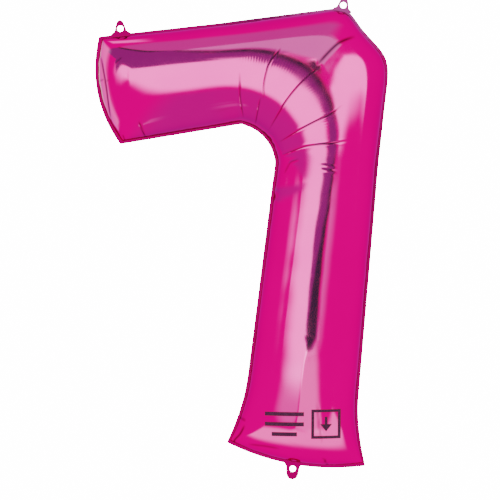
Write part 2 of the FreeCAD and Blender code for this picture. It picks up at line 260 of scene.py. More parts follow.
def film_height(points):
    """Height of the film: the square root of twice the solution of Poisson's equation."""
    right, down, diagonal, area = cotangent_weights(points)
    inner = ACROSS - 1
    centre = np.zeros((ROWS + 1, ACROSS + 1))
    centre[:, :-1] += right
    centre[:, 1:] += right
    centre[:-1] += down
    centre[1:] += down
    centre[:-1, :-1] += diagonal
    centre[1:, 1:] += diagonal
    factors, loads = [], []
    previous = np.zeros((inner, inner))
    for i in range(1, ROWS):
        block = np.diag(centre[i, 1:-1]) - np.diag(right[i, 1:-1], 1) - np.diag(right[i, 1:-1], -1)
        load = area[i, 1:-1].copy()
        if i > 1:
            block -= link.T @ previous
            load -= link.T @ loads[-1]
        link = -np.diag(down[i, 1:-1]) - np.diag(diagonal[i, 1:-1], 1)
        solved = np.linalg.solve(block, np.column_stack([link, load]))
        previous = solved[:, :-1]
        factors.append(previous)
        loads.append(solved[:, -1])
    pressure = np.zeros((ROWS + 1, ACROSS + 1))
    value = loads[-1]
    pressure[ROWS - 1, 1:-1] = value
    for i in range(ROWS - 2, 0, -1):
        value = loads[i - 1] - factors[i - 1] @ value
        pressure[i, 1:-1] = value
    height = FULLNESS * np.sqrt(2 * np.maximum(pressure, 0))
    return height / (1 + (height / HEIGHT_LIMIT) ** LIMIT_SHARPNESS) ** (1 / LIMIT_SHARPNESS)


# --- folds, creases and puckers ------------------------------------------------------------------

RANDOM_SEED = 7
WOBBLE = 0.16 * MM  # slow unevenness of the whole film
WOBBLE_LENGTHS = (0.055, 0.075, 0.11, 0.16)

# Thin creases on the front: how deep, how wide, and the (x, z) points that each runs through.
CREASES = (
    (0.6, 1.4, ((-0.094, 0.7), (-0.0935, 0.655), (-0.0875, 0.621))),
    (0.8, 1.3, ((-0.022, 0.742), (-0.044, 0.712), (-0.052, 0.679), (-0.053, 0.652))),
    (0.6, 1.3, ((-0.058, 0.655), (-0.067, 0.61))),
    (0.85, 1.3, ((0.05, 0.712), (0.022, 0.69), (-0.01, 0.654), (-0.043, 0.6))),
    (0.8, 1.3, ((0.086, 0.643), (0.065, 0.626), (0.024, 0.606), (-0.026, 0.578))),
    (0.85, 1.4, ((0.094, 0.579), (0.065, 0.5745), (0.024, 0.571), (-0.02, 0.556))),
    (0.45, 1.5, ((0.01, 0.548), (-0.006, 0.543), (-0.016, 0.523))),
    (0.35, 1.6, ((0.044, 0.538), (0.074, 0.534))),
    (0.35, 1.8, ((0.047, 0.53), (0.076, 0.525))),
    (0.9, 2.2, ((-0.346, 0.739), (-0.339, 0.735), (-0.336, 0.71), (-0.33, 0.683),
                 (-0.326, 0.64), (-0.321, 0.612))),
    (0.4, 1.8, ((-0.347, 0.69), (-0.322, 0.688))),
    (0.7, 1.8, ((-0.272, 0.616), (-0.261, 0.588))),
    (0.5, 1.8, ((-0.302, 0.594), (-0.297, 0.58))),
    (0.45, 1.8, ((-0.312, 0.718), (-0.301, 0.728))),
    (0.8, 2.0, ((-0.098, 0.094), (-0.083, 0.088))),
    (0.9, 2.2, ((-0.085, 0.081), (-0.094, 0.063), (-0.106, 0.05), (-0.102, 0.042))),
    (0.45, 2.4, ((-0.08, 0.046), (-0.05, 0.044), (-0.023, 0.04))),
    (0.6, 2.2, ((0.053, 0.024), (0.062, 0.006))),
    (0.35, 2.0, ((0.041, 0.124), (0.045, 0.082), (0.05, 0.05))),
    (1.0, 3.4, ((0.038, 0.708), (0.06, 0.733), (0.078, 0.751), (0.11, 0.765))),
)

# Folds: broad ridges (height above 0) and grooves, how high, how wide, and their (x, z) points.
FOLDS = (
    (2.2, 16.0, ((0.03, 0.236), (0.018, 0.2), (0.008, 0.09), (-0.012, 0.056))),
    (1.5, 15.0, ((0.036, 0.706), (0.058, 0.732), (0.078, 0.75), (0.11, 0.765))),
)

# Fine ripples where the film is gathered: (x, z) points of the line they hang from.
RIPPLES = (
    ((-0.105, 0.724), (-0.055, 0.721), (-0.030, 0.716), (0.010, 0.696)),
    ((0.022, 0.684), (0.040, 0.655), (0.054, 0.626), (0.060, 0.598)),
)
FULL_SHADE_DEPTH = 0.75  # a crease this deep, in mm, gets the full painted shade at its bottom
SHADE_WIDTH = 0.75  # width of its painted shade line, as a share of the crease's own
SHOULDER_HEIGHT = 0.35  # film beside a crease stands up by this share of the crease's depth
SHOULDER_WIDTH = 3  # over this many times its width
END_FADE = 0.25  # share of a crease's, ripple's or fold's length that each end fades over
FOLD_SOFTNESS = 0.8 * MM  # rounds the top of a fold
PATH_POINTS = 60  # of a crease, ripple or fold line, joined through its few given points
PATH_SMOOTHNESS = 5
RIPPLE_PITCH = 4.8 * MM
RIPPLE_DEPTH = 0.08 * MM
RIPPLE_WIDTH = 8 * MM

# Puckers along the seam: (start share, end share, count, deepest in mm, longest in mm).
NEAR_PUCKERS = ((0.02, 0.30, 16, 0.5, 16), (0.30, 0.47, 26, 0.9, 34), (0.47, 0.97, 26, 0.45, 16))
FAR_PUCKERS = ((0.02, 0.22, 14, 0.5, 16), (0.26, 0.48, 20, 0.6, 20), (0.48, 0.97, 28, 0.45, 16))
PUCKER_START = 3 * MM  # a pucker is at full depth this far from the seam
PUCKER_WINDOW = 25 * MM  # and isn't felt further than this along it
PUCKER_DEPTHS = (0.3, 1)  # range of depths and lengths, as shares of the deepest and longest
PUCKER_LENGTHS = (0.35, 1)
PUCKER_WIDTHS = (1.6, 2.8)  # mm
PUCKER_LEANS = (-0.15, 0.15)  # sideways for each step inwards
END_PUCKERS = 15
END_PUCKER_PLACES = (0.04, 0.96)
END_PUCKER_DEPTHS = (0.2, 0.7)  # mm, as the next two
END_PUCKER_LENGTHS = (8, 26)
END_PUCKER_WIDTHS = (2.8, 4.5)
END_PUCKER_LEANS = (-0.1, 0.1)
BACK_PUCKER_SHARE = 1.3  # the unseen back is a little more puckered
RELIEF_HEIGHT = 12 * MM  # relief is at full depth where the film stands this high


def lobe_surface(height, side):
    """Points of one face of the lobe: side -1 for the front, 1 for the back."""
    return np.dstack([grid[..., 0], side * height, grid[..., 1]])


def surface_normals(points, side):
    normal = np.cross(np.gradient(points, axis=0), np.gradient(points, axis=1))
    normal /= np.maximum(np.linalg.norm(normal, axis=2, keepdims=True), TINY)
    return normal * side * np.sign(normal[ROWS // 2, ACROSS // 2, 1])


def distance_along(path, points):
    """For each point: its distance to a path, and how far along the path it lies, in metres."""
    best = np.full(points.shape[:-1], np.inf)
    reach = np.zeros(points.shape[:-1])
    travelled = 0.0
    path = np.array(path)
    for a, b in zip(path, path[1:]):
        length = np.linalg.norm(b - a)
        unit = (b - a) / length
        share = np.clip((points - a) @ unit, 0, length)
        gap = np.linalg.norm(points - (a + share[..., None] * unit), axis=-1)
        closer = gap < best
        best = np.where(closer, gap, best)
        reach = np.where(closer, travelled + share, reach)
        travelled += length
    return best, reach, travelled


def rounded_path(points):
    """The points joined by a smooth line that passes near them."""
    return smoothed(resampled(np.array(points), PATH_POINTS), PATH_SMOOTHNESS)


def line_field(points):
    """At each grid point: its distance to the line, how far along it lies, and the line's strength."""
    gap, reach, length = distance_along(rounded_path(points), grid)
    fade = length * END_FADE
    start = np.clip(reach / fade, 0, 1)
    end = np.clip((length - reach) / fade, 0, 1)
    return gap, reach, np.sin(math.pi / 2 * start) * np.sin(math.pi / 2 * end)


def crease_relief():
    """Creases and ripples of the front, as movement along the film's normal."""
    relief = np.zeros(grid.shape[:2])
    for depth, width, points in CREASES:
        gap, reach, strength = line_field(points)
        groove = np.exp(-(gap / (width * MM)) ** 2)
        shoulder = SHOULDER_HEIGHT * np.exp(-(gap / (SHOULDER_WIDTH * width * MM)) ** 2)
        relief -= depth * MM * (groove - shoulder) * strength
    for points in RIPPLES:
        gap, reach, strength = line_field(points)
        wave = np.sin(2 * math.pi * reach / RIPPLE_PITCH)
        relief += RIPPLE_DEPTH * wave * np.exp(-(gap / RIPPLE_WIDTH) ** 2) * strength
    return relief


def painted_crease_shade():
    """Painted shade of the front's creases: how deep in a crease each point lies, 0 to 1, which darkens
    the base colour there.
    """
    shade = np.zeros(grid.shape[:2])
    for depth, width, points in CREASES:
        gap, reach, strength = line_field(points)
        darkness = min(1, depth / FULL_SHADE_DEPTH) * strength
        shade = np.maximum(shade, darkness * np.exp(-(gap / (SHADE_WIDTH * width * MM)) ** 2))
    return shade


def fold_relief():
    relief = np.zeros(grid.shape[:2])
    for rise, width, points in FOLDS:
        gap, reach, strength = line_field(points)
        soft_gap = np.sqrt(gap ** 2 + FOLD_SOFTNESS ** 2)
        relief += rise * MM * np.exp(-soft_gap / (width * MM)) * strength
    return relief


def wobble_relief(random):
    relief = np.zeros(grid.shape[:2])
    for length in WOBBLE_LENGTHS:
        angle, phase = random.uniform(0, math.pi), random.uniform(0, 2 * math.pi)
        wave = grid @ np.array([math.cos(angle), math.sin(angle)]) * 2 * math.pi / length
        relief += WOBBLE * (length / WOBBLE_LENGTHS[-1]) * np.sin(wave + phase)
    return relief


def pucker_relief(points, random, share):
    """Puckers that run inwards from the seam."""
    relief = np.zeros(grid.shape[:2])
    across = np.linalg.norm(np.diff(points, axis=1), axis=2)
    from_near = np.column_stack([np.zeros(ROWS + 1), np.cumsum(across, axis=1)])
    from_far = from_near[:, -1:] - from_near
    lengthways = np.linalg.norm(np.diff(points, axis=0), axis=2)
    from_bar_end = np.vstack([np.zeros(ACROSS + 1), np.cumsum(lengthways, axis=0)])
    from_foot = from_bar_end[-1:] - from_bar_end

    def press(position, inwards, centre, depth, reach, width, lean):
        rise = np.clip(inwards / PUCKER_START, 0, 1) * np.exp(-(inwards / reach) ** 2)
        offset = position - centre - lean * inwards
        return -depth * rise * np.exp(-(offset / (width * (1 + inwards / reach))) ** 2)

    for edge, inwards, groups in ((0, from_near, NEAR_PUCKERS), (-1, from_far, FAR_PUCKERS)):
        position = reach_along(grid[:, edge])
        for start, end, count, deepest, longest in groups:
            for centre in random.uniform(start, end, round(count * share)) * position[-1]:
                window = np.abs(position - centre) < PUCKER_WINDOW
                relief[window] += press(
                    position[window, None], inwards[window], centre,
                    deepest * MM * random.uniform(*PUCKER_DEPTHS),
                    longest * MM * random.uniform(*PUCKER_LENGTHS),
                    random.uniform(*PUCKER_WIDTHS) * MM, random.uniform(*PUCKER_LEANS))
    for row, inwards in ((0, from_bar_end), (-1, from_foot)):
        position = reach_along(grid[row])
        for centre in random.uniform(*END_PUCKER_PLACES, round(END_PUCKERS * share)) * position[-1]:
            relief += press(
                position[None, :], inwards, centre, random.uniform(*END_PUCKER_DEPTHS) * MM,
                random.uniform(*END_PUCKER_LENGTHS) * MM, random.uniform(*END_PUCKER_WIDTHS) * MM,
                random.uniform(*END_PUCKER_LEANS))
    return relief


def shaped_face(height, side):
    """One face of the skin with everything that is pressed into it; the seam line stays where it is."""
    random = np.random.default_rng(RANDOM_SEED + side)
    points = lobe_surface(height, side)
    relief = wobble_relief(random)
    relief += pucker_relief(points, random, 1 if side < 0 else BACK_PUCKER_SHARE)
    relief += fold_relief()
    if side < 0:
        relief += crease_relief()
    steepness = np.clip(height / RELIEF_HEIGHT, 0, 1)
    return points + surface_normals(points, side) * (relief * steepness)[..., None]


# --- meshes --------------------------------------------------------------------------------------

def mesh_object(name, points, faces, material):
    mesh = bpy.data.meshes.new(name)
    mesh.from_pydata([tuple(p) for p in points], [], [tuple(f) for f in faces])
    mesh.validate()
    mesh.shade_smooth()
    mesh.materials.append(material)
    piece = bpy.data.objects.new(name, mesh)
    bpy.context.scene.collection.objects.link(piece)
    return piece


def quads(index):
    """The four-sided faces of a grid, from the numbers of its points."""
    return np.stack([index[:-1, :-1], index[:-1, 1:], index[1:, 1:], index[1:, :-1]],
                    axis=-1).reshape(-1, 4)


def point_values(piece, name, values):
    attribute = piece.data.attributes.new(name, "FLOAT", "POINT")
    attribute.data.foreach_set("value", values.astype(np.float32))


def foil_skin(material):
    """The inflated film, front and back, as one closed mesh that shares the seam line."""
    height = film_height(grid)
    front, back = shaped_face(height, -1), shaped_face(height, 1)
    front_index = np.arange((ROWS + 1) * (ACROSS + 1)).reshape(ROWS + 1, ACROSS + 1)
    back_index = front_index.copy()
    inner = (ROWS - 1) * (ACROSS - 1)
    back_index[1:-1, 1:-1] = front_index.size + np.arange(inner).reshape(ROWS - 1, ACROSS - 1)
    points = np.vstack([front.reshape(-1, 3), back[1:-1, 1:-1].reshape(-1, 3)])

    faces = np.vstack([quads(front_index), quads(back_index)[:, ::-1]])
    piece = mesh_object("foil_skin", points, faces, material)
    outward_normals(piece)
    # painted shade: the creases of the front darken the base colour, kept as a point attribute
    shade = np.zeros(len(points))
    shade[:front_index.size] = painted_crease_shade().ravel()
    point_values(piece, "crease", shade)
    return piece


SEAL_THICKNESS = 0.8 * MM
SEAL_OVERLAP = 1.2 * MM  # how far the margin reaches in under the skin
SEAL_STEP = 1.5 * MM
SEAL_WAVE = 0.45 * MM
SEAL_WAVE_LENGTHS = (0.013, 0.021, 0.034)
SEAL_SECTION = ((0.0, 1.0), (0.35, 1.0), (0.7, 1.0), (0.92, 0.9), (0.99, 0.5))

TAB_CENTRES = ((-0.3067, 0.7832), (0.090, 0.825), (0.0, 0.0))
TAB_CLEARANCE = 0.035  # from a tab's hole, the margin's wave grows up from a share of this
CALM_SHARE = 0.8


def closed_resampled(loop, step):
    count = round(loop_length(loop) / step)
    even = resampled(np.vstack([loop, loop[:1]]), count + 1)[:-1]
    return (np.roll(even, 1, axis=0) + 2 * even + np.roll(even, -1, axis=0)) / 4


def sealed_margin(material):
    """The flat margin outside the seam: a thin closed band with slightly wavy, rounded edges."""
    random = np.random.default_rng(RANDOM_SEED)
    outer = closed_resampled(cut_loop, SEAL_STEP)
    seam_points = closed_resampled(seam_loop, SEAL_STEP / 2)
    seam_side = np.array([seam_points[nearest(seam_points, p)] for p in outer])
    inwards = seam_side - outer
    width = np.linalg.norm(inwards, axis=1, keepdims=True)
    inner = seam_side + inwards / np.maximum(width, TINY) * SEAL_OVERLAP
    travelled = np.arange(len(outer)) * SEAL_STEP
    total = len(outer) * SEAL_STEP
    wave = np.zeros(len(outer))
    for length in SEAL_WAVE_LENGTHS:
        turns = round(total / length)
        wave += np.sin(2 * math.pi * turns * travelled / total + random.uniform(0, 2 * math.pi))
    calm = np.min([np.linalg.norm(outer - np.array(c), axis=1) for c in TAB_CENTRES], axis=0)
    wave *= SEAL_WAVE / len(SEAL_WAVE_LENGTHS) * np.clip(calm / TAB_CLEARANCE - CALM_SHARE, 0, 1)
    section = [(share, -full) for share, full in SEAL_SECTION] + [(1.0, 0.0)]
    section += [(share, full) for share, full in reversed(SEAL_SECTION)]
    rings = []
    for share, thickness in section:
        flat = inner * (1 - share) + outer * share
        level = wave * share ** 2 + thickness * SEAL_THICKNESS / 2
        rings.append(np.column_stack([flat[:, 0], level, flat[:, 1]]))
    index = np.arange(len(section) * len(outer)).reshape(len(section), -1)
    faces = quads(np.pad(index, (0, 1), "wrap"))
    piece = mesh_object("sealed_margin", np.vstack(rings), faces, material)
    outward_normals(piece)
    return piece


def outward_normals(piece):
    work = bmesh.new()
    work.from_mesh(piece.data)
    bmesh.ops.recalc_face_normals(work, faces=work.faces)
    if work.calc_volume(signed=True) < 0:
        bmesh.ops.reverse_faces(work, faces=work.faces)
    work.to_mesh(piece.data)
    work.free()


INNER_CLEARANCE = 0.6  # inner points keep this share of the spacing away from the outlines
MERGE_DISTANCE = 1e-7
SHARP_ANGLE = math.radians(50)


def inside(point, outline):
    """Whether a point lies inside a closed outline."""
    a, b = outline, np.roll(outline, -1, axis=0)
    crosses = (a[:, 1] > point[1]) != (b[:, 1] > point[1])
    with np.errstate(divide="ignore", invalid="ignore"):
        x = a[:, 0] + (point[1] - a[:, 1]) * (b[:, 0] - a[:, 0]) / (b[:, 1] - a[:, 1])
    return np.count_nonzero(crosses & (point[0] < x)) % 2 == 1


def flat_triangles(outlines, spacing):
    """Triangles that fill the first outline but not the others, with points inside it too."""
    points = [tuple(p) for outline in outlines for p in outline]
    edges, start = [], 0
    for outline in outlines:
        count = len(outline)
        edges += [(start + i, start + (i + 1) % count) for i in range(count)]
        start += count
    border = np.array(points)
    low, high = border.min(axis=0), border.max(axis=0)

    def filled(p):
        return inside(p, outlines[0]) and not any(inside(p, hole) for hole in outlines[1:])

    for i, u in enumerate(np.arange(low[0] + spacing, high[0], spacing)):
        for v in np.arange(low[1] + spacing * (0.5 + i % 2 / 2), high[1], spacing):
            clear = np.linalg.norm(border - (u, v), axis=1).min() > spacing * INNER_CLEARANCE
            if clear and filled((u, v)):
                points.append((u, v))
    made = delaunay_2d_cdt([Vector(p) for p in points], edges, [], 0, MERGE_DISTANCE)
    flat = np.array([tuple(p) for p in made[0]])
    faces = [f for f in made[2] if filled(flat[list(f)].mean(axis=0))]
    used = sorted({v for f in faces for v in f})
    renumber = {old: new for new, old in enumerate(used)}
    return flat[used], [[renumber[v] for v in f] for f in faces]


def closed_plate(name, flat, faces, front, back, material):
    """A thin closed piece from a flat triangulation and the places of its front and back points."""
    count = len(flat)
    uses = {}
    for f in faces:
        for a, b in zip(f, f[1:] + f[:1]):
            uses[(a, b)] = True
    rim = [(a, b) for a, b in uses if (b, a) not in uses]
    walls = [(b, a, a + count, b + count) for a, b in rim]
    back_faces = [[v + count for v in reversed(f)] for f in faces]
    piece = mesh_object(name, np.vstack([front, back]), faces + back_faces + walls, material)
    outward_normals(piece)
    piece.data.set_sharp_from_angle(angle=SHARP_ANGLE)
    return piece


# --- tabs ----------------------------------------------------------------------------------------

TAB_THICKNESS = 0.9 * MM
TAB_SPACING = 1.3 * MM
TAB_POINTS = 70  # of each side of a tab's outline, joined through its few given points
TAB_SMOOTHNESS = 2.2
TAB_RIPPLE = 0.25 * MM
TAB_RIPPLE_LENGTH = 5 * MM
HOLE_RADIUS = 5.5 * MM
HOLE_HEIGHT = 7.5 * MM
HOLE_STEPS = 48

# Right half of each outline in mm: across, and out from the bend line. Each runs up to the tip, and
# starts 4 mm inside the margin, because a tab and the margin are one sheet.
HANGING_TAB = ((17.0, -4.0), (15.9, 0.4), (12.2, 1.9), (10.2, 4.6), (9.3, 8.0), (8.3, 12.0),
               (6.6, 17.0), (4.6, 20.8), (2.4, 22.6), (0.0, 23.0))
FILLING_TAB = ((16.5, -4.0), (15.0, 0.5), (12.6, 2.2), (11.8, 5.0), (11.5, 10.0), (10.9, 16.0),
               (9.4, 20.8), (6.6, 24.4), (3.4, 26.1), (0.0, 26.5))


def tab_outline(half):
    """Both sides of a tab's outline, rounded between its points, as a closed loop."""
    half = smoothed(resampled(np.array(half) * MM, TAB_POINTS), TAB_SMOOTHNESS)
    mirrored = half[-2::-1] * (-1, 1)
    return np.vstack([half, mirrored])


def hole_outline():
    turn = 2 * math.pi * np.arange(HOLE_STEPS) / HOLE_STEPS
    return np.column_stack([HOLE_RADIUS * np.cos(turn), HOLE_HEIGHT + HOLE_RADIUS * np.sin(turn)])


def tab_sheet(name, hole, angle, half, level, thickness, flare, material):
    """A tab as a thin sheet. level is its middle's distance from the mid-plane, flare opens its tip."""
    flat, faces = flat_triangles([tab_outline(half), hole_outline()], TAB_SPACING)
    lean = math.radians(angle)
    across = np.array([math.cos(lean), 0, -math.sin(lean)])
    out = np.array([math.sin(lean), 0, math.cos(lean)])
    root = np.array([hole[0], 0, hole[1]]) - HOLE_HEIGHT * out
    middle = root + flat[:, :1] * across + flat[:, 1:] * out
    height = np.clip(flat[:, 1] / max(p[1] * MM for p in half), 0, 1)
    ripple = TAB_RIPPLE * height * np.sin(flat[:, 0] / TAB_RIPPLE_LENGTH + angle)
    half_thickness = np.array([0, thickness / 2, 0])
    middle[:, 1] += level + flare * height ** 2 + ripple
    piece = closed_plate(name, flat, faces, middle - half_thickness, middle + half_thickness,
                         material)
    return piece, root, out


def hinged_tab(name, node, hole, angle, half, level, thickness, flare, material):
    piece, root, out = tab_sheet(name, hole, angle, half, level, thickness, flare, material)
    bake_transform(piece)
    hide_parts(node)
    return piece


# --- print ---------------------------------------------------------------------------------------

INK_LOW = 0.05 * MM  # the ink's back and front, above the skin
INK_HIGH = 0.25 * MM
INK_SPACING = 2.0 * MM
PRINT_LEVEL = 0.085  # height of the middle of the print on the foot
ARROW_X = 0.057
ARROW_SIDE = 0.052
ARROW_LINE = 0.005
ARROW_HALF_HEAD = ARROW_SIDE / 5
ARROW_REACH = ARROW_SIDE / 4
BARS_X = -0.016
BAR_WIDTHS = (0.068, 0.068, 0.044)
BAR_HEIGHT = 0.007
BAR_PITCH = 0.018


def rectangle(x, z, width, height):
    corners = np.array([(-1, -1), (1, -1), (1, 1), (-1, 1)]) / 2 * (width, height) + (x, z)
    return subdivided(corners)


def subdivided(corners):
    """A closed polygon with points along its sides."""
    sides = []
    for a, b in zip(corners, np.roll(corners, -1, axis=0)):
        count = max(1, round(np.linalg.norm(b - a) / INK_SPACING))
        share = np.arange(count)[:, None] / count
        sides.append(a + (b - a) * share)
    return np.vstack(sides)


def arrow_outline():
    """An arrow that points down to the filling tab."""
    half_line = ARROW_LINE / 2
    return subdivided(np.array([
        (-half_line, ARROW_REACH), (-half_line, 0), (-ARROW_HALF_HEAD, 0), (0, -ARROW_REACH),
        (ARROW_HALF_HEAD, 0), (half_line, 0), (half_line, ARROW_REACH)]) + (ARROW_X, PRINT_LEVEL))


def inked(name, shapes, skin_tree, node, material):
    """Ink on the front of the skin: flat shapes, each an outline and its holes, laid on the film."""
    all_flat, all_faces = [], []
    count = 0
    for outlines in shapes:
        flat, faces = flat_triangles(outlines, INK_SPACING)
        all_flat.append(flat)
        all_faces += [[v + count for v in f] for f in faces]
        count += len(flat)
    flat = np.vstack(all_flat)
    hits = [skin_tree.ray_cast(Vector((u, -1, v)), Vector((0, 1, 0))) for u, v in flat]
    place = np.array([tuple(hit[0]) for hit in hits])
    normal = np.array([tuple(hit[1]) for hit in hits])
    piece = closed_plate(name, flat, all_faces, place + normal * INK_HIGH, place + normal * INK_LOW,
                         material)
    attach(piece, "envelope")
    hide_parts(node)
    return piece


# --- materials -----------------------------------------------------------------------------------

FOIL_COLOURS = ((0.87, 0.036, 0.215, 1), (0.82, 0.032, 0.205, 1))
SHADED_MARGIN_COLOURS = ((0.46, 0.022, 0.16, 1), (0.34, 0.016, 0.12, 1))  # two films, crinkled; their colour is the foil's darkened as painted shade
PAINTED_CREASE_SHADE_COLOUR = (0.06, 0.003, 0.03, 1)  # painted shade: the base colour in the depth of a tight crease
FOIL_EDGE_TINT = (0.5, 0.48, 0.62, 1)  # the lacquer looks deeper where the film turns away
INK_COLOURS = ((0.012, 0.01, 0.012, 1), (0.045, 0.03, 0.04, 1))
VALVE_COLOURS = ((0.8, 0.82, 0.84, 1), (0.7, 0.73, 0.76, 1))
COAT_COLOURS = ((0.86, 0.84, 0.78, 1), (0.76, 0.74, 0.68, 1))
FLOOR_COLOUR = (0.82, 0.82, 0.82, 1)

FOIL_ROUGHNESS, MARGIN_ROUGHNESS, INK_ROUGHNESS = (0.07, 0.12), (0.16, 0.28), (0.22, 0.38)
VALVE_ROUGHNESS, COAT_ROUGHNESS, FLOOR_ROUGHNESS = (0.34, 0.46), (0.64, 0.76), 0.9
FOIL_CRINKLE, MARGIN_CRINKLE = 0.05, 0.25
CRINKLE_HEIGHT = 0.0002

# Scale and detail of each noise: that of the colour's tone, then that of the gloss.
FOIL_NOISES = ((9, 3), (60, 4))
INK_NOISES = ((260, 5), (400, 3))
FILM_NOISES = ((120, 4), (300, 3))
CRINKLE_SCALE, CRINKLE_DETAIL = 900, 3
NOISE_LOW, NOISE_HIGH = 0.3, 0.7  # where nearly all of a noise lies
MIX_FIRST, MIX_SECOND, MIX_RESULT = 6, 7, 2  # a Mix node's sockets for colours


def new_material(name):
    """A material with nodes: its Principled shader, and a function that adds and links nodes."""
    material = bpy.data.materials.new(name)
    material.use_nodes = True
    nodes, links = material.node_tree.nodes, material.node_tree.links
    shader = nodes["Principled BSDF"]

    def add(kind, settings=None, **inputs):
        node = nodes.new(kind)
        for key, value in (settings or {}).items():
            setattr(node, key, value)
        for key, value in inputs.items():
            socket = node.inputs[key.replace("_", " ")]
            if isinstance(value, bpy.types.NodeSocket):
                links.new(value, socket)
            else:
                socket.default_value = value
        return node

    return material, shader, add, links


def noise_between(add, position, scale, detail, low, high):
    """A value that wanders between low and high with a noise of that scale."""
    noise = add("ShaderNodeTexNoise", Vector=position, Scale=scale, Detail=detail)
    spread = add("ShaderNodeMapRange", Value=noise.outputs["Fac"])
    for socket, value in (("From Min", NOISE_LOW), ("From Max", NOISE_HIGH),
                          ("To Min", low), ("To Max", high)):
        spread.inputs[socket].default_value = value
    return spread.outputs["Result"]


def colour_between(add, links, share, first, second):
    """A mix of two colours; the first may also be the socket that a colour comes from."""
    mix = add("ShaderNodeMix", {"data_type": "RGBA"})
    links.new(share, mix.inputs["Factor"])
    if isinstance(first, bpy.types.NodeSocket):
        links.new(first, mix.inputs[MIX_FIRST])
    else:
        mix.inputs[MIX_FIRST].default_value = first
    mix.inputs[MIX_SECOND].default_value = second
    return mix.outputs[MIX_RESULT]


def uneven_material(name, colours, noises, roughness):
    """A material whose tone and gloss wander, as new_material gives it, and its colour and position."""
    material, shader, add, links = new_material(name)
    position = add("ShaderNodeTexCoord").outputs["Object"]
    tone_noise, gloss_noise = noises
    colour = colour_between(add, links, noise_between(add, position, *tone_noise, 0, 1), *colours)
    links.new(colour, shader.inputs["Base Color"])
    links.new(noise_between(add, position, *gloss_noise, *roughness), shader.inputs["Roughness"])
    return material, shader, add, links, colour, position


def foil_material(name, colours, roughness, crinkle):
    """Metallised film under tinted lacquer: mirror-like, faintly uneven in colour, gloss and level, its
    base colour darkened as painted shade where the mesh's crease attribute is set.
    """
    material, shader, add, links, colour, position = uneven_material(
        name, colours, FOIL_NOISES, roughness)
    shader.inputs["Metallic"].default_value = 1
    shader.inputs["Specular Tint"].default_value = FOIL_EDGE_TINT
    # painted shade: the base colour darkens towards near black in the creases
    crease = add("ShaderNodeAttribute", {"attribute_name": "crease"})
    painted_shade_colour = colour_between(add, links, crease.outputs["Fac"], colour, PAINTED_CREASE_SHADE_COLOUR)
    links.new(painted_shade_colour, shader.inputs["Base Color"])
    grain = add("ShaderNodeTexNoise", Vector=position, Scale=CRINKLE_SCALE, Detail=CRINKLE_DETAIL)
    bump = add("ShaderNodeBump", Strength=crinkle, Distance=CRINKLE_HEIGHT,
               Height=grain.outputs["Fac"])
    links.new(bump.outputs["Normal"], shader.inputs["Normal"])
    return material


def ink_material():
    """Black printing ink, a little thin and uneven over the foil."""
    return uneven_material("print_ink", INK_COLOURS, INK_NOISES, INK_ROUGHNESS)[0]


def film_material(name, colours, roughness):
    """Milky plastic film of the valve."""
    return uneven_material(name, colours, FILM_NOISES, roughness)[0]


def floor_material():
    material, shader, add, links = new_material("pale_floor")
    shader.inputs["Base Color"].default_value = FLOOR_COLOUR
    shader.inputs["Roughness"].default_value = FLOOR_ROUGHNESS
    return material


def finish_node(name, material):
    """Gives a CAD node that stays on show a better material."""
    node = frame["nodes"][name]
    if not node.material_slots:
        node.data.materials.append(material)
    for material_slot in node.material_slots:
        material_slot.material = material


# --- stage, light and camera ---------------------------------------------------------------------

FLOOR_LEVEL = -0.5
FLOOR_RADIUS = 3.5
FLOOR_SIDES = 96
CAMERA_DISTANCE = 4.0
CAMERA_X = -0.076
CAMERA_HEIGHT = 0.3893
VIEW_WIDTH = 0.890  # what the camera sees across the mid-plane of the balloon
SENSOR = 36.0
FARTHEST_SEEN = 50


def floor():
    turn = 2 * math.pi * np.arange(FLOOR_SIDES) / FLOOR_SIDES
    points = [(FLOOR_RADIUS * math.cos(a), FLOOR_RADIUS * math.sin(a), FLOOR_LEVEL) for a in turn]
    piece = mesh_object("floor", points, [range(FLOOR_SIDES)], floor_material())
    piece.visible_glossy = False


CARD_CELL = 0.010  # size of the cells of a light card, which carry its soft edges

# Light cards and dark flags round the balloon, seen only in its reflections. Each lies on a plane
# across one axis and has the usual softness of its edge, and an outline of (first other axis, second
# other axis), with a third number where the edge's softness is its own.
# A glow adds its light to the room's, on the inflated skin alone; a flag hides what is behind it.
FRONT, TOP, BELOW = ("y", -0.45), ("z", 1.50), ("z", -0.06)
FAR_FRONT, FAR_LEFT, NEAR_FRONT = ("y", -2.40), ("x", -2.60), ("y", -0.25)
BAR_END, UNDER_BAR = ("x", -0.375), ("z", 0.52)
PINK_GLOW = (1.3, 9.6, 2.6)
PALE_GLOW = (0.7, 6.5, 1.6)
MAUVE_GLOW = (0.1, 3.2, 0.8)
LOW_GLOW = (0.4, 5.5, 1.3)
MAUVE = (1.00, 5.0, 1.9)
DEEP_MAUVE = (0.75, 1.6, 1.1)
DEEP_MAGENTA = (0.72, 0.60, 0.92)
PURPLE = (0.29, 0.66, 0.68)
DARK = (0.045, 0.50, 0.19)
